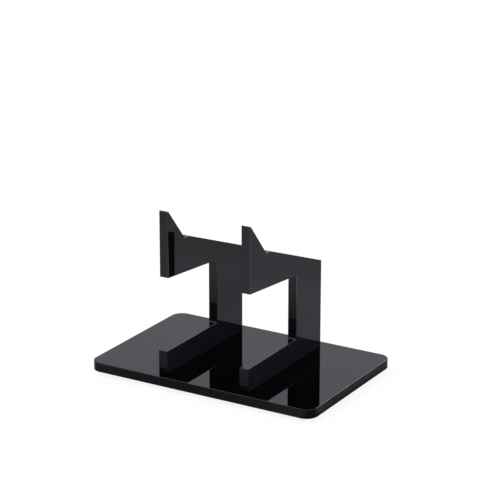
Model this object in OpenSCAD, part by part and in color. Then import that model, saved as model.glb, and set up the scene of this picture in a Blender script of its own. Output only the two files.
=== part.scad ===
// Acrylic desk stand: two hooked brackets cut from black sheet,
// cemented upright on a rounded base plate that rests on four rubber pads.
// The front is towards -Y and the underside of the pads is at Z = 0.

/* [Sheet] */
// Thickness of the acrylic sheet that every plate is cut from
sheet_t = 4; // [3:0.5:6]
// Width of the broken edge all round each plate
edge_break = 0.3; // [0.1:0.05:0.6]

/* [Base plate] */
// Width of the base plate, left to right
base_w = 104; // [90:1:160]
// Depth of the base plate, front to back
base_d = 68; // [64:1:110]
// Radius of the four corners of the base plate
base_r = 5; // [2:0.5:12]

/* [Bracket places] */
// Distance between the middles of the two brackets
bracket_gap = 37.8; // [20:0.1:60]
// Distance from the front edge of the base plate to the foot of a bracket
front_margin = 4.5; // [2:0.1:10]

/* [Bracket foot and post] */
// Length of the foot of a bracket along the base plate
foot_len = 59; // [50:0.1:60]
// Height of the foot of a bracket
foot_h = 9.5; // [6:0.1:16]
// Depth of the upright post, front to back
post_d = 20.5; // [12:0.1:26]

/* [Bracket arm and cradle] */
// Height of the arm's underside at its front end, above the base plate
arm_front_h = 40.2; // [34:0.1:50]
// Height of the arm's underside where it meets the post, above the base plate
arm_root_h = 37.1; // [30:0.1:44]
// Height of the seat behind the hook, above the base plate
seat_h = 53.6; // [50:0.1:70]
// Depth of the level part of the seat, front to back
seat_d = 3.7; // [2:0.1:8]
// Slope of the arm's top, falling to the rear
arm_slope = 20.9; // [10:0.1:25]
// Height of the hook's tip, above the base plate
hook_h = 67.8; // [60:0.1:90]
// Steepness of the hook's inner side
hook_slope = 49.8; // [40:0.1:65]
// How far the front of the hook stands back from the front of the foot
hook_setback = 1.5; // [0:0.1:4]

/* [Foot pads] */
// Diameter of a foot pad
pad_d = 8; // [6:0.5:12]
// Thickness of a foot pad
pad_t = 1.5; // [1:0.1:3]
// Distance from a side of the base plate to the middle of a foot pad
pad_inset = 10; // [8:0.5:16]
// Width of the rounded rim of a foot pad
pad_rim = 0.5; // [0.2:0.1:0.8]

/* [Hidden] */
$fn = 96;

// The level that the brackets stand on
base_top = pad_t + sheet_t;

// Front-to-back places along a bracket, with the middle of the base plate at 0
foot_front = -base_d / 2 + front_margin;
rear = foot_front + foot_len;
post_front = rear - post_d;
hook_front = foot_front + hook_setback;

// Places where the cradle's lines meet: hook slope with seat, seat with arm top
valley = hook_front + (hook_h - seat_h) / tan(hook_slope);
crest = valley + seat_d;
rear_h = seat_h - (rear - crest) * tan(arm_slope);

// The cut profile of a bracket, counter-clockwise, as [y, height above the base plate]
profile = [[foot_front, 0], [rear, 0], [rear, rear_h],
           [crest, seat_h], [valley, seat_h],
           [hook_front, hook_h], [hook_front, arm_front_h],
           [post_front, arm_root_h], [post_front, foot_h], [foot_front, foot_h]];

// How far an edge's break runs past a corner: past an outer one, short of an inner one
function past(before, corner, after) =
    cross(corner - before, after - corner) > 0 ? edge_break : -edge_break;

// The bars that cut a broken edge along a profile's outline, on both faces of its sheet
module edge_breaks(points) {
    count = len(points);
    bar = 4 * edge_break;
    for (i = [0 : count - 1]) {
        start = points[i];
        end = points[(i + 1) % count];
        past_start = past(points[(i + count - 1) % count], start, end);
        past_end = past(start, end, points[(i + 2) % count]);
        run = norm(end - start);
        translate([start.x, start.y, 0])
            rotate([0, 0, atan2(end.y - start.y, end.x - start.x)])
                for (face = [-1, 1])
                    translate([(run + past_end - past_start) / 2, edge_break / 2,
                               face * (sheet_t - edge_break) / 2])
                        rotate([face * 45, 0, 0])
                            translate([0, 0, face * bar / 2])
                                cube([run + past_start + past_end, bar, bar], center = true);
    }
}

// One bracket, standing in the plane across x with its foot on the base plate
module bracket(x) {
    color([0.03, 0.03, 0.035])
        translate([x, 0, base_top])
            rotate([90, 0, 90])
                difference() {
                    linear_extrude(height = sheet_t, center = true) polygon(profile);
                    edge_breaks(profile);
                }
}

// The half section of a plate with broken edges, reaching out to half
module plate_section(half) {
    polygon([[0, 0], [half - edge_break, 0], [half, edge_break],
             [half, sheet_t - edge_break], [half - edge_break, sheet_t], [0, sheet_t]]);
}

// A bar of plate with broken long edges, along Y before it is turned
module plate_bar(width, length) {
    rotate([90, 0, 0])
        linear_extrude(height = length, center = true) {
            plate_section(width / 2);
            mirror([1, 0, 0]) plate_section(width / 2);
        }
}

module base_plate() {
    straight_w = base_w - 2 * base_r;
    straight_d = base_d - 2 * base_r;
    color([0.03, 0.03, 0.035])
        translate([0, 0, pad_t])
            union() {
                plate_bar(base_w, straight_d);
                rotate([0, 0, 90]) plate_bar(base_d, straight_w);
                for (sx = [-1, 1], sy = [-1, 1])
                    translate([sx * straight_w / 2, sy * straight_d / 2, 0])
                        rotate_extrude() plate_section(base_r);
            }
}

// A self-adhesive pad under one corner, its lower rim rounded
module foot_pad(side, end) {
    pad_r = pad_d / 2;
    color([0.09, 0.09, 0.09])
        translate([side * (base_w / 2 - pad_inset), end * (base_d / 2 - pad_inset), 0])
            rotate_extrude()
                union() {
                    translate([0, pad_rim]) square([pad_r, pad_t - pad_rim]);
                    square([pad_r - pad_rim, pad_t]);
                    translate([pad_r - pad_rim, pad_rim])
                        intersection() {
                            circle(r = pad_rim);
                            translate([0, -pad_rim]) square(pad_rim);
                        }
                }
}

module left_bracket() { bracket(-bracket_gap / 2); }
module right_bracket() { bracket(bracket_gap / 2); }
module front_left_pad() { foot_pad(-1, -1); }
module front_right_pad() { foot_pad(1, -1); }
module rear_left_pad() { foot_pad(-1, 1); }
module rear_right_pad() { foot_pad(1, 1); }

base_plate();
left_bracket();
right_bracket();
front_left_pad();
front_right_pad();
rear_left_pad();
rear_right_pad();
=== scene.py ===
"""Acrylic desk stand: two hooked brackets on a rounded base plate with rubber pads.

Every length is in metres. +X is right, -Y is the front and +Z is up, as in the frame.
"""
import math

import bpy
import numpy as np
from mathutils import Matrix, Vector


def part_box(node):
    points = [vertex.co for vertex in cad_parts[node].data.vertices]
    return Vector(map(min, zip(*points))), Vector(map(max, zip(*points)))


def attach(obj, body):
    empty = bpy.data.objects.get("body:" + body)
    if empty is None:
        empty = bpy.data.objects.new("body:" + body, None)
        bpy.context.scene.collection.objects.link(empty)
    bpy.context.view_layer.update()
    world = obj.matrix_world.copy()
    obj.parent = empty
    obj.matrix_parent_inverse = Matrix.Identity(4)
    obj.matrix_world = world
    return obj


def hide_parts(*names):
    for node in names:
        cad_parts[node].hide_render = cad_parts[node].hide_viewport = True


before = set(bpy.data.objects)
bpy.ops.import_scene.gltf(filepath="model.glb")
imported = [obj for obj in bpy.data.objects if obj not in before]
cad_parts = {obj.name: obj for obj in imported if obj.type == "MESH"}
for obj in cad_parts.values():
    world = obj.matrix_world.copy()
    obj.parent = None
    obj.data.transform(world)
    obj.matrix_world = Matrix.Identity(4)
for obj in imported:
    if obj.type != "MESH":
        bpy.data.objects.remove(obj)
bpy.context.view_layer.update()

bl_info = {
    "name": "Acrylic Desk Stand",
    "version": (1, 0, 0),
    "blender": (4, 5, 0),
    "location": "View3D > Sidebar > Stand",
    "description": "Builds an acrylic stand of hooked brackets on a base plate, and its studio",
    "category": "Object",
}

PLATE_LOW, PLATE_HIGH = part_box("base_plate")
LEFT_LOW, LEFT_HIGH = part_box("left_bracket")
PAD_LOW, PAD_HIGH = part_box("front_left_pad")
SHEET_THICKNESS = PLATE_HIGH[2] - PLATE_LOW[2]
BRACKETS = ("left_bracket", "right_bracket")
PADS = ("front_left_pad", "front_right_pad", "rear_left_pad", "rear_right_pad")

ACROSS = (1.0, 0.0, 0.0)
DEEP = (0.0, 1.0, 0.0)
UP = (0.0, 0.0, 1.0)
WHITE = (1.0, 1.0, 1.0, 1.0)

# Facets round a corner of a bracket and round a pad's rim, and the least radius of a corner,
# as a share of the arris
PROFILE_STEPS = 6
RIM_STEPS = 6
LEAST_CORNER = 0.02

# Patterns of the sheet and the rubber: how fine each one is, and how far the polishing marks
# are stretched along an edge
MARKS_SCALE = 1100.0
MARKS_STRETCH = 0.02
HAZE_SCALE = 60.0
RIPPLE_SCALE = 20.0
MOULD_SCALE = 3200.0
DUST_SCALE = 420.0

# Height over which the painted light on a bracket's foot, a lighter sheet colour, fades out above
# the foot
FOOT_LIGHT_FADE = 0.008

# The rubber's refractive index and its moulded grain's depth and strength
RUBBER_INDEX = 1.5
MOULD_DEPTH = 0.00006
MOULD_STRENGTH = 0.5

# Brightness of the reflected floor: pairs are the start and end of a smooth rise, over the
# distance from the middle in metres or over the dot product with a direction
NEAR_TO_FAR = (0.04, 0.12)
NEAR_LEAN = (0.036, 0.060, 0.0)
FAR_LEAN = (0.135, -0.245, 0.0)
FRONT_RIGHT = (0.858, -0.513, 0.0)
PATCH_SPREAD = (0.5, 0.95)
PATCH_START = (0.082, 0.115)
PATCH_FADE = (0.12, 0.19)
PATCH_LOSS = 0.6
BESIDE = (0.98, 0.17, 0.0)
BESIDE_SPREAD = (0.70, 0.95)
BESIDE_SHADE = 0.14
BACK_RIGHT = (0.60, 0.80, 0.0)
BACK_SPREAD = (0.2, 0.7)
BACK_START = (0.105, 0.15)
BACK_LOSS = 0.17
COVER_EDGE = (-0.001, 0.005)
CORNER_SPREAD = (0.980, 0.996)
CORNER_END = (0.075, 0.095)
CORNER_LOSS = 0.65

# The room in reflections: the directions of its screens and the rises at their edges
SCREEN_BEHIND = (-0.56, 0.83, 0.0)
BEHIND_SPREAD = (0.62, 0.84)
SCREEN_RIGHT = (0.87, -0.50, 0.0)
RIGHT_SPREAD = (0.30, 0.80)
CEILING_SPREAD = (0.40, 0.90)
CEILING_SHARE = 0.5

# The point that the soft lamps are aimed at
LAMP_AIM = (0.0, 0.0, 0.03)


def length(name, description, default, low=0.0, high=0.2):
    """A length property in metres."""
    return bpy.props.FloatProperty(name=name, description=description, default=default,
                                   min=low, max=high, precision=5,
                                   unit="LENGTH", subtype="DISTANCE")


def angle(name, description, degrees):
    """An angle property, given here in degrees."""
    return bpy.props.FloatProperty(name=name, description=description,
                                   default=math.radians(degrees), unit="ROTATION",
                                   subtype="ANGLE")


def share(name, description, default, high=1.0):
    """A plain number from nought to high."""
    return bpy.props.FloatProperty(name=name, description=description, default=default,
                                   min=0.0, max=high)


def tint(name, description, default):
    """A linear colour property."""
    return bpy.props.FloatVectorProperty(name=name, description=description, default=default,
                                         size=3, min=0.0, max=1.0, subtype="COLOR")


class StandPlate(bpy.types.PropertyGroup):
    """The arrises of the cut sheets, and the base plate's corners"""
    arris: length("Plate arris", "Radius of the polished arris round the base plate", 0.0002)
    thin_arris: length("Bracket arris", "Radius of the arris round a bracket", 0.00015)
    arris_steps: bpy.props.IntProperty(name="Arris steps", description="Facets across an arris",
                                       default=5, min=1, max=12)
    corner: length("Plate corner", "Radius of the base plate's four corners", 0.005)
    corner_steps: bpy.props.IntProperty(name="Corner steps", description="Facets round a corner",
                                        default=20, min=2, max=48)


class StandBracket(bpy.types.PropertyGroup):
    """The cut profile of a bracket. Heights are above the base plate"""
    foot_height: length("Foot height", "Height of the foot", 0.0095)
    post_depth: length("Post depth", "Depth of the upright post", 0.0205)
    arm_front: length("Arm front", "Height of the arm's underside at the front", 0.0402)
    arm_root: length("Arm root", "Height of the arm's underside at the post", 0.0371)
    seat_height: length("Seat height", "Height of the level seat behind the hook", 0.0536)
    seat_depth: length("Seat depth", "Depth of the level seat", 0.00305)
    hook_setback: length("Hook setback", "How far the hook stands behind the foot's front",
                         0.0015)
    tip_flat: length("Tip flat", "Width of the level flat that blunts the hook's tip", 0.00065)
    hook_slope: angle("Hook slope", "Steepness of the hook's inner side", 49.8)
    arm_slope: angle("Arm slope", "Fall of the arm's top to the rear", 20.9)
    outer_corner: length("Outer corner", "Radius of the profile's outer corners", 0.0002)
    inner_corner: length("Inner corner", "Radius that the cutter leaves in an inner corner",
                         0.0003)
    tip_corner: length("Tip corner", "Radius of the two corners of the hook's tip", 0.00012)


class StandPad(bpy.types.PropertyGroup):
    """A rubber foot pad"""
    rim: length("Rim", "Radius of the pad's rounded lower rim", 0.0005)
    steps: bpy.props.IntProperty(name="Steps", description="Facets round a pad",
                                 default=72, min=12, max=128)


class StandFinish(bpy.types.PropertyGroup):
    """Colours and gloss"""
    # Painted shade and light: the plate's colours are darker than the brackets' colours of the
    # same acrylic, as painted shade on the plate and painted light on the brackets
    plate: tint("Plate", "Colour of the base plate's black sheet", (0.0006, 0.0006, 0.0007))
    bracket: tint("Bracket", "Colour of the brackets' black sheet", (0.0014, 0.0013, 0.0018))
    # Painted light: this lighter colour on each bracket's foot stands in for light falling on the
    # foot's sides; no cement bloom is there
    painted_foot_light: tint("Bloom", "Colour of the faint bloom that the cement leaves round a foot",
                (0.0102, 0.0093, 0.0141))
    cut: tint("Cut edge", "Colour of the brackets' polished edges", (0.0040, 0.0038, 0.0048))
    plate_cut: tint("Plate edge", "Colour of the base plate's edge", (0.0012, 0.0011, 0.0014))
    face_gloss: share("Face roughness", "Roughness of the sheet's cast faces", 0.012)
    edge_gloss: share("Edge roughness", "Roughness of the polished cut edges", 0.07)
    ripple: length("Ripple", "Depth of the slow ripple in a cast face", 0.000004, 0.0, 0.001)
    marks: length("Marks", "Depth of the polishing marks along a cut edge", 0.00001, 0.0, 0.001)
    index: share("Refractive index", "Refractive index of acrylic", 1.49, 2.5)
    rubber: tint("Rubber", "Colour of the foot pads", (0.020, 0.020, 0.021))


class StandStudio(bpy.types.PropertyGroup):
    """The camera and the studio"""
    azimuth: angle("Azimuth", "Direction of the camera, from the front towards the right", 30.887)
    elevation: angle("Elevation", "Height of the camera above the aim, as an angle", 18.319)
    distance: length("Distance", "Distance from the camera to the aim", 0.885, 0.1, 10.0)
    aim: bpy.props.FloatVectorProperty(name="Aim", description="The point in the frame's middle",
                                       default=(-0.00514, 0.00783, 0.05360), size=3,
                                       unit="LENGTH", subtype="XYZ")
    lens: bpy.props.FloatProperty(name="Lens", description="Focal length of the camera",
                                  default=162.975, min=10.0, max=400.0, unit="CAMERA")
    floor: tint("Floor", "Colour of the floor in the light", (0.90, 0.90, 0.90))
    floor_size: length("Floor size", "Width of the floor", 6.0, 1.0, 20.0)
    floor_white: share("Floor white", "Share of plain white that the camera sees", 0.88)
    tone: tint("Tone", "Colour of the room in reflections", (0.910, 0.889, 1.0))
    near_floor: share("Near floor", "Brightness of the reflected floor by the stand", 0.23)
    far_floor: share("Far floor", "Brightness of the reflected floor further off", 0.46)
    lit_floor: share("Lit floor", "Added brightness of the floor at the front right", 3.2, 10.0)
    screen: share("Screen", "Brightness of the pale screens behind and at the right", 0.585)
    dim_room: share("Dim room", "Brightness of the room between the screens", 0.06)
    fill: share("Fill", "Brightness of the light from all round on plain surfaces", 0.84)
    overhead: share("Overhead", "Brightness of the overhead softbox", 2.2, 40.0)
    side: share("Side", "Brightness of the softbox at the right", 2.4, 40.0)
    rear: share("Rear", "Brightness of the softbox behind", 4.2, 40.0)


GROUPS = {"stand_plate": StandPlate, "stand_bracket": StandBracket, "stand_pad": StandPad,
          "stand_finish": StandFinish, "stand_studio": StandStudio}


def rounded_outline(corners, radii, steps):
    """Points of a closed outline whose corners are arcs, and the outward normal at each.

    corners is (n, 2), counter-clockwise. A corner turns through the signed angle between its
    two edges, its arc's centre lies on the bisector, and the arc's points are
    centre + side * radius * normal, with side +1 on an outer corner and -1 on an inner one.
    """
    before = corners - np.roll(corners, 1, axis=0)
    after = np.roll(corners, -1, axis=0) - corners
    before /= np.linalg.norm(before, axis=1, keepdims=True)
    after /= np.linalg.norm(after, axis=1, keepdims=True)
    turn = np.arctan2(before[:, 0] * after[:, 1] - before[:, 1] * after[:, 0],
                      (before * after).sum(axis=1))
    side = np.sign(turn)
    normal_in = np.stack([before[:, 1], -before[:, 0]], axis=1)
    normal_out = np.stack([after[:, 1], -after[:, 0]], axis=1)
    mitre = (normal_in + normal_out) / (1.0 + (normal_in * normal_out).sum(axis=1))[:, None]
    centre = corners - (side * radii)[:, None] * mitre
    start = np.arctan2(normal_in[:, 1], normal_in[:, 0])
    theta = start[:, None] + turn[:, None] * np.linspace(0.0, 1.0, steps + 1)
    normals = np.stack([np.cos(theta), np.sin(theta)], axis=2)
    points = centre[:, None, :] + (side * radii)[:, None, None] * normals
    return points.reshape(-1, 2), normals.reshape(-1, 2), mitre, side


def plate_surface(corners, radii, steps, thickness, arris, arris_steps):
    """A flat plate with rounded arrises, as rings of its outline carried across its thickness.

    Ring k has the arris angle phi: it is the outline drawn in by arris * (1 - cos phi), at the
    height of the arris's centre plus arris * sin phi. Returns the points and normals as
    (rings, outline, 3) arrays, with the thickness along the third axis, middle at nought.
    """
    quarter = np.linspace(0.0, math.pi / 2, arris_steps + 1)
    phi = np.concatenate([quarter - math.pi / 2, quarter])
    level = np.concatenate([np.full(arris_steps + 1, arris - thickness / 2),
                            np.full(arris_steps + 1, thickness / 2 - arris)])
    _, normals, mitre, side = rounded_outline(corners, radii, steps)
    smallest = LEAST_CORNER * arris
    rings = []
    for inset in arris * (1.0 - np.cos(phi)):
        drawn_in = corners - inset * mitre
        reduced = np.maximum(radii - side * inset, smallest)
        rings.append(rounded_outline(drawn_in, reduced, steps)[0])
    rings = np.stack(rings)
    height = (level + arris * np.sin(phi))[:, None, None] * np.ones((1, rings.shape[1], 1))
    points = np.concatenate([rings, height], axis=2)
    wall = np.cos(phi)[:, None, None] * normals[None, :, :]
    rise = np.sin(phi)[:, None, None] * np.ones((1, rings.shape[1], 1))
    return points, np.concatenate([wall, rise], axis=2), np.cos(phi)


def closed_mesh(name, points, normals, edge_share=None):
    """A closed mesh from rings of points: quads between the rings and one flat cap at each end.

    points and normals are (rings, outline, 3). The caps take the axis of the stack as their
    normal. edge_share, one number a ring, is stored as the attribute cut_edge.
    """
    rings, around, _ = points.shape
    ring, place = np.meshgrid(np.arange(rings - 1), np.arange(around), indexing="ij")
    following = (place + 1) % around
    quads = np.stack([ring * around + place, ring * around + following,
                      (ring + 1) * around + following, (ring + 1) * around + place],
                     axis=2).reshape(-1, 4)
    bottom = np.arange(around)[::-1]
    top = (rings - 1) * around + np.arange(around)
    corners = np.concatenate([quads.ravel(), bottom, top])
    starts = np.concatenate([np.arange(len(quads)) * 4,
                             [quads.size, quads.size + around]])
    flat = normals.reshape(-1, 3)
    axis = points[-1].mean(axis=0) - points[0].mean(axis=0)
    axis /= np.linalg.norm(axis)
    loop_normals = np.concatenate([flat[quads.ravel()], np.tile(-axis, (around, 1)),
                                   np.tile(axis, (around, 1))])
    mesh = bpy.data.meshes.new(name)
    mesh.vertices.add(rings * around)
    mesh.vertices.foreach_set("co", points.reshape(-1))
    mesh.loops.add(len(corners))
    mesh.loops.foreach_set("vertex_index", corners.astype(np.int32))
    mesh.polygons.add(len(starts))
    mesh.polygons.foreach_set("loop_start", starts.astype(np.int32))
    mesh.update(calc_edges=True)
    mesh.polygons.foreach_set("use_smooth", np.ones(len(starts), dtype=bool))
    mesh.normals_split_custom_set(loop_normals.tolist())
    if edge_share is not None:
        attribute = mesh.attributes.new("cut_edge", "FLOAT", "POINT")
        attribute.data.foreach_set("value", np.repeat(edge_share, around))
    piece = bpy.data.objects.new(name, mesh)
    bpy.context.scene.collection.objects.link(piece)
    return piece


def node_tree(name):
    """A new material with its output and Principled nodes, and its tree and that shader."""
    material = bpy.data.materials.new(name)
    material.use_nodes = True
    tree = material.node_tree
    shader = tree.nodes["Principled BSDF"]
    return material, tree, shader


def grain(tree, scale, detail, squash=(1.0, 1.0, 1.0)):
    """A noise over Object coordinates, stretched along the axes whose squash is small."""
    place = tree.nodes.new("ShaderNodeTexCoord")
    mapping = tree.nodes.new("ShaderNodeMapping")
    mapping.inputs["Scale"].default_value = squash
    noise = tree.nodes.new("ShaderNodeTexNoise")
    noise.inputs["Scale"].default_value = scale
    noise.inputs["Detail"].default_value = detail
    tree.links.new(place.outputs["Object"], mapping.inputs["Vector"])
    tree.links.new(mapping.outputs["Vector"], noise.inputs["Vector"])
    return noise.outputs["Fac"]


def spread(tree, value, low, high, start=0.3, end=0.7):
    """A value from start to end, mapped onto low to high."""
    node = tree.nodes.new("ShaderNodeMapRange")
    node.inputs["From Min"].default_value = start
    node.inputs["From Max"].default_value = end
    node.inputs["To Min"].default_value = low
    node.inputs["To Max"].default_value = high
    tree.links.new(value, node.inputs["Value"])
    return node.outputs["Result"]


def blend_values(tree, factor, first, second):
    """first where factor is nought, second where it is one."""
    node = tree.nodes.new("ShaderNodeMix")
    node.data_type = "FLOAT"
    tree.links.new(factor, node.inputs[0])
    tree.links.new(first, node.inputs[2])
    tree.links.new(second, node.inputs[3])
    return node.outputs[0]


def reckon(tree, operation, first, second):
    """One Math node. Each of its two inputs is a socket or a plain number."""
    node = tree.nodes.new("ShaderNodeMath")
    node.operation = operation
    for place, value in enumerate((first, second)):
        if isinstance(value, bpy.types.NodeSocket):
            tree.links.new(value, node.inputs[place])
        else:
            node.inputs[place].default_value = value
    return node.outputs[0]


def smooth_step(tree, value, start, end):
    """Nought up to start and one from end on, with a smooth rise between."""
    node = tree.nodes.new("ShaderNodeMapRange")
    node.interpolation_type = "SMOOTHSTEP"
    node.inputs["From Min"].default_value = start
    node.inputs["From Max"].default_value = end
    tree.links.new(value, node.inputs["Value"])
    return node.outputs["Result"]


def along(tree, vector, direction):
    """How far vector goes in the given direction: their dot product."""
    node = tree.nodes.new("ShaderNodeVectorMath")
    node.operation = "DOT_PRODUCT"
    node.inputs[1].default_value = direction
    tree.links.new(vector, node.inputs[0])
    return node.outputs["Value"]


def less(tree, value, share=1.0):
    """One less the given share of value."""
    return reckon(tree, "SUBTRACT", 1.0, reckon(tree, "MULTIPLY", value, share))


def relief(tree, height, depth, under=None, strength=1.0):
    """A bump of the given depth in metres, over the normal that lies under it."""
    bump = tree.nodes.new("ShaderNodeBump")
    bump.inputs["Strength"].default_value = strength
    bump.inputs["Distance"].default_value = depth
    tree.links.new(height, bump.inputs["Height"])
    if under is not None:
        tree.links.new(under, bump.inputs["Normal"])
    return bump.outputs["Normal"]


def blend_colours(tree, factor, first, second):
    """first where factor is nought, second where it is one. Each is a socket or a colour."""
    mix = tree.nodes.new("ShaderNodeMix")
    mix.data_type = "RGBA"
    tree.links.new(factor, mix.inputs[0])
    for place, colour in ((6, first), (7, second)):
        if isinstance(colour, bpy.types.NodeSocket):
            tree.links.new(colour, mix.inputs[place])
        else:
            mix.inputs[place].default_value = (*colour, 1.0)
    return mix.outputs[2]


def mix_shaders(tree, factor, first, second):
    """The first shader where factor is nought, the second where it is one."""
    mix = tree.nodes.new("ShaderNodeMixShader")
    tree.links.new(factor, mix.inputs["Fac"])
    tree.links.new(first, mix.inputs[1])
    tree.links.new(second, mix.inputs[2])
    return mix.outputs["Shader"]


def white_light(tree, kind, strength):
    """A white Emission or Background shader of plain strength."""
    light = tree.nodes.new("ShaderNode" + kind)
    light.inputs["Color"].default_value = WHITE
    light.inputs["Strength"].default_value = strength
    return light.outputs[kind]


def tone_light(tree, light, strength, studio):
    """Give a light shader the room's tone, with the strength as that of its green light."""
    light.inputs["Color"].default_value = (*studio.tone, 1.0)
    tree.links.new(reckon(tree, "MULTIPLY", strength, 1.0 / studio.tone[1]),
                   light.inputs["Strength"])


def acrylic_material(name, colour, edge_colour, sheet_axis, finish, foot_light_heights=None):
    """Black cast sheet: mirror faces with a slow ripple, and cut edges with polishing marks.

    The attribute cut_edge is nought on the faces and one on the edges. The marks vary only
    across the sheet, along sheet_axis, so they run along the edge as a polishing wheel does.
    The last argument gives the heights between which the foot's painted light, a lighter sheet
    colour, fades out.
    """
    material, tree, shader = node_tree(name)
    shader.inputs["IOR"].default_value = finish.index
    edge = tree.nodes.new("ShaderNodeAttribute")
    edge.attribute_name = "cut_edge"
    cut = edge.outputs["Fac"]
    sheet = colour
    # Painted light: the foot takes the lighter foot colour, which stands in for light on its
    # sides, and it fades out above the foot
    if foot_light_heights is not None:
        place = tree.nodes.new("ShaderNodeTexCoord").outputs["Object"]
        height = along(tree, place, UP)
        above_foot_light = smooth_step(tree, height, *foot_light_heights)
        sheet = blend_colours(tree, above_foot_light, finish.painted_foot_light, colour)
    tree.links.new(blend_colours(tree, cut, sheet, edge_colour), shader.inputs["Base Color"])
    face = reckon(tree, "SUBTRACT", 1.0, cut)
    squash = tuple(1.0 if axis == sheet_axis else MARKS_STRETCH for axis in range(3))
    marks = grain(tree, MARKS_SCALE, 2.0, squash)
    haze = grain(tree, HAZE_SCALE, 3.0)
    ripple = grain(tree, RIPPLE_SCALE, 0.0)
    face_rough = spread(tree, haze, finish.face_gloss * 0.6, finish.face_gloss * 1.6)
    edge_rough = spread(tree, marks, finish.edge_gloss * 0.7, finish.edge_gloss * 1.4)
    rough = blend_values(tree, cut, face_rough, edge_rough)
    tree.links.new(rough, shader.inputs["Roughness"])
    wavy = relief(tree, reckon(tree, "MULTIPLY", ripple, face), finish.ripple)
    marked = relief(tree, reckon(tree, "MULTIPLY", marks, cut), finish.marks, wavy)
    tree.links.new(marked, shader.inputs["Normal"])
    return material


def rubber_material(name, finish):
    """Matt black rubber with a fine moulded grain and a little dust."""
    material, tree, shader = node_tree(name)
    shader.inputs["IOR"].default_value = RUBBER_INDEX
    fine = grain(tree, MOULD_SCALE, 4.0)
    dust = grain(tree, DUST_SCALE, 3.0)
    ramp = tree.nodes.new("ShaderNodeValToRGB")
    ramp.color_ramp.elements[0].position = 0.35
    ramp.color_ramp.elements[0].color = (*finish.rubber, 1.0)
    ramp.color_ramp.elements[1].position = 0.75
    ramp.color_ramp.elements[1].color = (*[2.0 * part for part in finish.rubber], 1.0)
    tree.links.new(dust, ramp.inputs["Fac"])
    tree.links.new(ramp.outputs["Color"], shader.inputs["Base Color"])
    tree.links.new(spread(tree, dust, 0.62, 0.82), shader.inputs["Roughness"])
    moulded = relief(tree, fine, MOULD_DEPTH, strength=MOULD_STRENGTH)
    tree.links.new(moulded, shader.inputs["Normal"])
    return material


def seat_piece(piece, node, material):
    """The piece stands for the node, rides on the one body and takes its material."""
    piece.data.materials.append(material)
    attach(piece, "root")
    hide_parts(node)


def bracket_corners(shape):
    """The corners and radii of a bracket's profile, as front-to-back place and height.

    The lowest and highest corners of the node give the foot, the rear and the tip. The hook's
    slope starts behind the tip's flat, the notch lies where it meets the seat, and the arm's
    top falls from the seat's end.
    """
    front, rear = LEFT_LOW[1], LEFT_HIGH[1]
    ground, tip = LEFT_LOW[2], LEFT_HIGH[2]
    hook = front + shape.hook_setback
    post = rear - shape.post_depth
    seat = ground + shape.seat_height
    blunt = hook + shape.tip_flat
    notch = blunt + (tip - seat) / math.tan(shape.hook_slope)
    crest = notch + shape.seat_depth
    rear_top = seat - (rear - crest) * math.tan(shape.arm_slope)
    foot_top = ground + shape.foot_height
    outer, inner = shape.outer_corner, shape.inner_corner
    rows = [(front, ground, outer), (rear, ground, outer), (rear, rear_top, outer),
            (crest, seat, outer), (notch, seat, inner), (blunt, tip, shape.tip_corner),
            (hook, tip, shape.tip_corner), (hook, ground + shape.arm_front, outer),
            (post, ground + shape.arm_root, inner),
            (post, foot_top, inner), (front, foot_top, outer)]
    rows = np.array(rows)
    return rows[:, :2], rows[:, 2]


class STAND_OT_base_plate(bpy.types.Operator):
    """Build the rounded base plate"""
    bl_idname = "stand.base_plate"
    bl_label = "Base plate"

    def execute(self, context):
        plate = context.scene.stand_plate
        low, high = np.array(PLATE_LOW), np.array(PLATE_HIGH)
        corners = np.array([(low[0], low[1]), (high[0], low[1]),
                            (high[0], high[1]), (low[0], high[1])])
        points, normals, edge = plate_surface(corners, np.full(4, plate.corner),
                                              plate.corner_steps, SHEET_THICKNESS,
                                              plate.arris, plate.arris_steps)
        points[:, :, 2] += (low[2] + high[2]) / 2
        piece = closed_mesh("base_sheet", points, normals, edge)
        finish = context.scene.stand_finish
        # Painted shade: the plate takes the darker colours of the acrylic
        material = acrylic_material("Acrylic plate", finish.plate, finish.plate_cut, 2, finish)
        seat_piece(piece, "base_plate", material)
        return {"FINISHED"}


class STAND_OT_brackets(bpy.types.Operator):
    """Build the two hooked brackets from one profile"""
    bl_idname = "stand.brackets"
    bl_label = "Brackets"

    def execute(self, context):
        plate = context.scene.stand_plate
        corners, radii = bracket_corners(context.scene.stand_bracket)
        points, normals, edge = plate_surface(corners, radii, PROFILE_STEPS, SHEET_THICKNESS,
                                              plate.thin_arris, plate.arris_steps)
        points = points[:, :, [2, 0, 1]]
        normals = normals[:, :, [2, 0, 1]]
        finish = context.scene.stand_finish
        # The foot's painted light fades out between the foot's top and a little above it
        foot_top = LEFT_LOW[2] + context.scene.stand_bracket.foot_height
        # Painted light: the brackets take the lighter colours of the acrylic
        material = acrylic_material("Acrylic bracket", finish.bracket, finish.cut, 0, finish,
                                    (foot_top, foot_top + FOOT_LIGHT_FADE))
        for node in BRACKETS:
            low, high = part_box(node)
            placed = points + np.array([(low[0] + high[0]) / 2, 0.0, 0.0])
            piece = closed_mesh(node.replace("bracket", "hook_sheet"), placed, normals, edge)
            seat_piece(piece, node, material)
        return {"FINISHED"}


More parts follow.
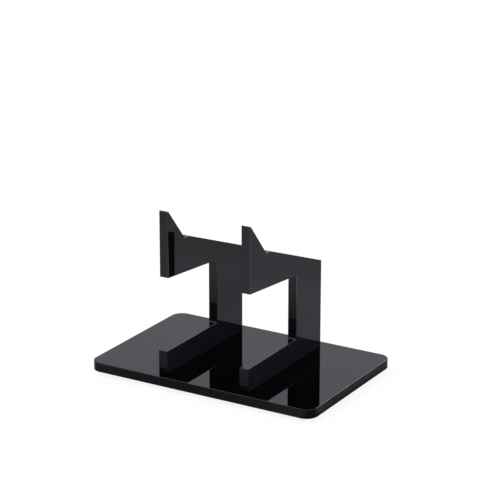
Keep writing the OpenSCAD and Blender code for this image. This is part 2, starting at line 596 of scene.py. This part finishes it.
class STAND_OT_pads(bpy.types.Operator):
    """Build the four rubber foot pads"""
    bl_idname = "stand.pads"
    bl_label = "Foot pads"

    def execute(self, context):
        pad = context.scene.stand_pad
        radius = (PAD_HIGH[0] - PAD_LOW[0]) / 2
        thickness = PAD_HIGH[2] - PAD_LOW[2]
        rim = np.linspace(-math.pi / 2, 0.0, RIM_STEPS + 1)
        reach = np.concatenate([radius - pad.rim * (1.0 - np.cos(rim)), [radius]])
        height = np.concatenate([pad.rim * (1.0 + np.sin(rim)), [thickness]])
        lean = np.concatenate([rim, [0.0]])
        around = np.linspace(0.0, 2.0 * math.pi, pad.steps, endpoint=False)
        circle = np.stack([np.cos(around), np.sin(around)], axis=1)
        points = np.concatenate([reach[:, None, None] * circle,
                                 np.broadcast_to(height[:, None, None],
                                                 (len(reach), pad.steps, 1))], axis=2)
        normals = np.concatenate([np.cos(lean)[:, None, None] * circle,
                                  np.broadcast_to(np.sin(lean)[:, None, None],
                                                  (len(reach), pad.steps, 1))], axis=2)
        material = rubber_material("Pad rubber", context.scene.stand_finish)
        for node in PADS:
            low, high = (np.array(corner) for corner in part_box(node))
            middle = (low + high) / 2
            placed = points + np.array([middle[0], middle[1], low[2]])
            piece = closed_mesh(node.replace("pad", "foot"), placed, normals)
            seat_piece(piece, node, material)
        return {"FINISHED"}


class STAND_OT_camera(bpy.types.Operator):
    """Set up the camera on the line from the aim, and make it the scene's camera"""
    bl_idname = "stand.camera"
    bl_label = "Camera"

    def execute(self, context):
        studio = context.scene.stand_studio
        azimuth, elevation = studio.azimuth, studio.elevation
        back = Vector((math.sin(azimuth) * math.cos(elevation),
                       -math.cos(azimuth) * math.cos(elevation), math.sin(elevation)))
        data = bpy.data.cameras.new("Stand camera")
        data.sensor_width = 36.0
        data.lens = studio.lens
        data.clip_start = 0.05
        data.clip_end = 50.0
        camera = bpy.data.objects.new("Stand camera", data)
        camera.location = Vector(studio.aim) + back * studio.distance
        camera.rotation_euler = (math.pi / 2 - elevation, 0.0, azimuth)
        context.scene.collection.objects.link(camera)
        context.scene.camera = camera
        return {"FINISHED"}


def floor_brightness(tree, studio):
    """The floor's brightness in reflections, from the place on it.

    It is near_floor by the stand, a painted shade, and follows a smooth rise over the distance
    from the middle to far_floor. Both lean a little with the direction. It is darker close
    beside the stand's right, a painted shade, fades a little at the back and has a lit patch at
    the front right, a painted pool of light, with a dark place between the patch and the
    plate's corner. Under the base plate it is nought, a painted shadow: the brightness follows
    a smooth rise over the distance beyond the plate's outline.
    """
    place = tree.nodes.new("ShaderNodeTexCoord").outputs["Object"]
    reach = tree.nodes.new("ShaderNodeVectorMath")
    reach.operation = "LENGTH"
    tree.links.new(place, reach.inputs[0])
    distance = reach.outputs["Value"]
    heading = tree.nodes.new("ShaderNodeVectorMath")
    heading.operation = "NORMALIZE"
    tree.links.new(place, heading.inputs[0])
    towards = heading.outputs["Vector"]
    far = smooth_step(tree, distance, *NEAR_TO_FAR)
    lean = along(tree, towards, FAR_LEAN)
    rise = reckon(tree, "ADD", lean, studio.far_floor - studio.near_floor)
    rise = reckon(tree, "MULTIPLY", rise, far)
    ahead = along(tree, towards, FRONT_RIGHT)
    patch = reckon(tree, "MULTIPLY", smooth_step(tree, ahead, *PATCH_SPREAD),
                   smooth_step(tree, distance, *PATCH_START))
    fading = smooth_step(tree, distance, *PATCH_FADE)
    patch = reckon(tree, "MULTIPLY", patch, less(tree, fading, PATCH_LOSS))
    patch = reckon(tree, "MULTIPLY", patch, studio.lit_floor)
    near = reckon(tree, "ADD", along(tree, towards, NEAR_LEAN), studio.near_floor)
    beside = smooth_step(tree, along(tree, towards, BESIDE), *BESIDE_SPREAD)
    shade = reckon(tree, "MULTIPLY", beside, less(tree, far))
    near = reckon(tree, "SUBTRACT", near, reckon(tree, "MULTIPLY", shade, BESIDE_SHADE))
    back = reckon(tree, "MULTIPLY", smooth_step(tree, distance, *BACK_START),
                  smooth_step(tree, along(tree, towards, BACK_RIGHT), *BACK_SPREAD))
    plain = reckon(tree, "MULTIPLY", reckon(tree, "ADD", rise, near),
                   less(tree, back, BACK_LOSS))
    # Painted shadow: the reflected floor is dark under the base plate
    beyond = []
    for axis, edge in ((ACROSS, PLATE_HIGH[0]), (DEEP, PLATE_HIGH[1])):
        off_middle = reckon(tree, "ABSOLUTE", along(tree, place, axis), 0.0)
        beyond.append(reckon(tree, "SUBTRACT", off_middle, edge))
    uncovered = smooth_step(tree, reckon(tree, "MAXIMUM", *beyond), *COVER_EDGE)
    close = less(tree, smooth_step(tree, distance, *CORNER_END))
    corner = reckon(tree, "MULTIPLY", smooth_step(tree, ahead, *CORNER_SPREAD), close)
    dimmed = reckon(tree, "MULTIPLY", uncovered, less(tree, corner, CORNER_LOSS))
    return reckon(tree, "MULTIPLY", reckon(tree, "ADD", plain, patch), dimmed)


def floor_material(studio):
    """Pale floor. The camera sees it white, with the stand's shadow kept faintly.

    In reflections it glows with its own brightness, and plain surfaces see a pale matt floor.
    """
    material, tree, shader = node_tree("Studio floor")
    shader.inputs["Base Color"].default_value = (*studio.floor, 1.0)
    shader.inputs["Roughness"].default_value = 0.9
    shader.inputs["Specular IOR Level"].default_value = 0.0
    seen = tree.nodes.new("ShaderNodeEmission")
    tone_light(tree, seen, floor_brightness(tree, studio), studio)
    path = tree.nodes.new("ShaderNodeLightPath")
    reflected = mix_shaders(tree, path.outputs["Is Glossy Ray"], shader.outputs["BSDF"],
                            seen.outputs["Emission"])
    whiten = reckon(tree, "MULTIPLY", path.outputs["Is Camera Ray"], studio.floor_white)
    mixed = mix_shaders(tree, whiten, reflected, white_light(tree, "Emission", 1.0))
    tree.links.new(mixed, tree.nodes["Material Output"].inputs["Surface"])
    return material


def studio_world(studio):
    """White for the camera, pale screens in reflections, and an even fill for plain surfaces.

    The screens stand behind at the left and round the front right. Each one's brightness is a
    smooth rise over the dot product of the ray with the screen's direction, and the ceiling's
    is a smooth rise over the ray's own height.
    """
    world = bpy.data.worlds.new("Stand studio")
    world.use_nodes = True
    tree = world.node_tree
    ray = tree.nodes.new("ShaderNodeTexCoord").outputs["Generated"]
    behind = smooth_step(tree, along(tree, ray, SCREEN_BEHIND), *BEHIND_SPREAD)
    right = smooth_step(tree, along(tree, ray, SCREEN_RIGHT), *RIGHT_SPREAD)
    screens = reckon(tree, "MULTIPLY", reckon(tree, "MAXIMUM", behind, right),
                     studio.screen - studio.dim_room)
    ceiling = reckon(tree, "MULTIPLY", smooth_step(tree, along(tree, ray, UP), *CEILING_SPREAD),
                     studio.screen * CEILING_SHARE)
    strength = reckon(tree, "ADD", reckon(tree, "ADD", screens, ceiling), studio.dim_room)
    room = tree.nodes["Background"]
    tone_light(tree, room, strength, studio)
    path = tree.nodes.new("ShaderNodeLightPath")
    mixed = mix_shaders(tree, path.outputs["Is Diffuse Ray"], room.outputs["Background"],
                        white_light(tree, "Background", studio.fill))
    mixed = mix_shaders(tree, path.outputs["Is Camera Ray"], mixed,
                        white_light(tree, "Background", 1.0))
    tree.links.new(mixed, tree.nodes["World Output"].inputs["Surface"])
    return world


def soft_lamp(name, place, width, height, radiance):
    """An area lamp aimed at the object. Its power is four times its radiance times its area."""
    data = bpy.data.lights.new(name, "AREA")
    data.shape = "RECTANGLE"
    data.size = width
    data.size_y = height
    data.energy = radiance * 4.0 * width * height
    lamp = bpy.data.objects.new(name, data)
    lamp.location = place
    towards = Vector(LAMP_AIM) - Vector(place)
    lamp.rotation_euler = towards.to_track_quat("-Z", "Y").to_euler()
    bpy.context.scene.collection.objects.link(lamp)
    return lamp


class STAND_OT_stage(bpy.types.Operator):
    """Set up the floor, the room's light and the soft lamps"""
    bl_idname = "stand.stage"
    bl_label = "Floor and lights"

    def execute(self, context):
        studio = context.scene.stand_studio
        half = studio.floor_size / 2
        mesh = bpy.data.meshes.new("Studio floor")
        mesh.from_pydata([(-half, -half, 0.0), (half, -half, 0.0),
                          (half, half, 0.0), (-half, half, 0.0)], [], [(0, 1, 2, 3)])
        mesh.materials.append(floor_material(studio))
        floor = bpy.data.objects.new("studio_floor", mesh)
        context.scene.collection.objects.link(floor)
        context.scene.world = studio_world(studio)
        soft_lamp("Overhead softbox", (-0.73, -0.47, 1.22), 0.9, 0.9, studio.overhead)
        right = soft_lamp("Right softbox", (1.10, -0.65, 0.75), 0.8, 0.6, studio.side)
        right.visible_glossy = False
        soft_lamp("Rear softbox", (0.05, 1.22, 0.90), 0.8, 0.3, studio.rear)
        settings = context.scene.view_settings
        settings.view_transform = "Standard"
        return {"FINISHED"}


BUILDERS = (STAND_OT_base_plate, STAND_OT_brackets, STAND_OT_pads, STAND_OT_camera,
            STAND_OT_stage)


class STAND_PT_panel(bpy.types.Panel):
    """The sizes, the finish and the builders of the stand"""
    bl_idname = "STAND_PT_panel"
    bl_label = "Acrylic Desk Stand"
    bl_space_type = "VIEW_3D"
    bl_region_type = "UI"
    bl_category = "Stand"

    def draw(self, context):
        layout = self.layout
        for builder in BUILDERS:
            layout.operator(builder.bl_idname)
        for name, group in GROUPS.items():
            box = layout.box()
            box.label(text=name.replace("stand_", "").capitalize())
            for item in group.__annotations__:
                box.prop(getattr(context.scene, name), item)


CLASSES = (*GROUPS.values(), *BUILDERS, STAND_PT_panel)


def register():
    """Register the classes and give every scene their properties."""
    for item in CLASSES:
        bpy.utils.register_class(item)
    for name, group in GROUPS.items():
        setattr(bpy.types.Scene, name, bpy.props.PointerProperty(type=group))


def unregister():
    """Take the properties and the classes away again."""
    for name in GROUPS:
        delattr(bpy.types.Scene, name)
    for item in reversed(CLASSES):
        bpy.utils.unregister_class(item)


def main():
    """Build the stand and its studio."""
    register()
    bpy.ops.stand.base_plate()
    bpy.ops.stand.brackets()
    bpy.ops.stand.pads()
    bpy.ops.stand.camera()
    bpy.ops.stand.stage()
    bpy.context.view_layer.update()


if __name__ == "__main__":
    main()
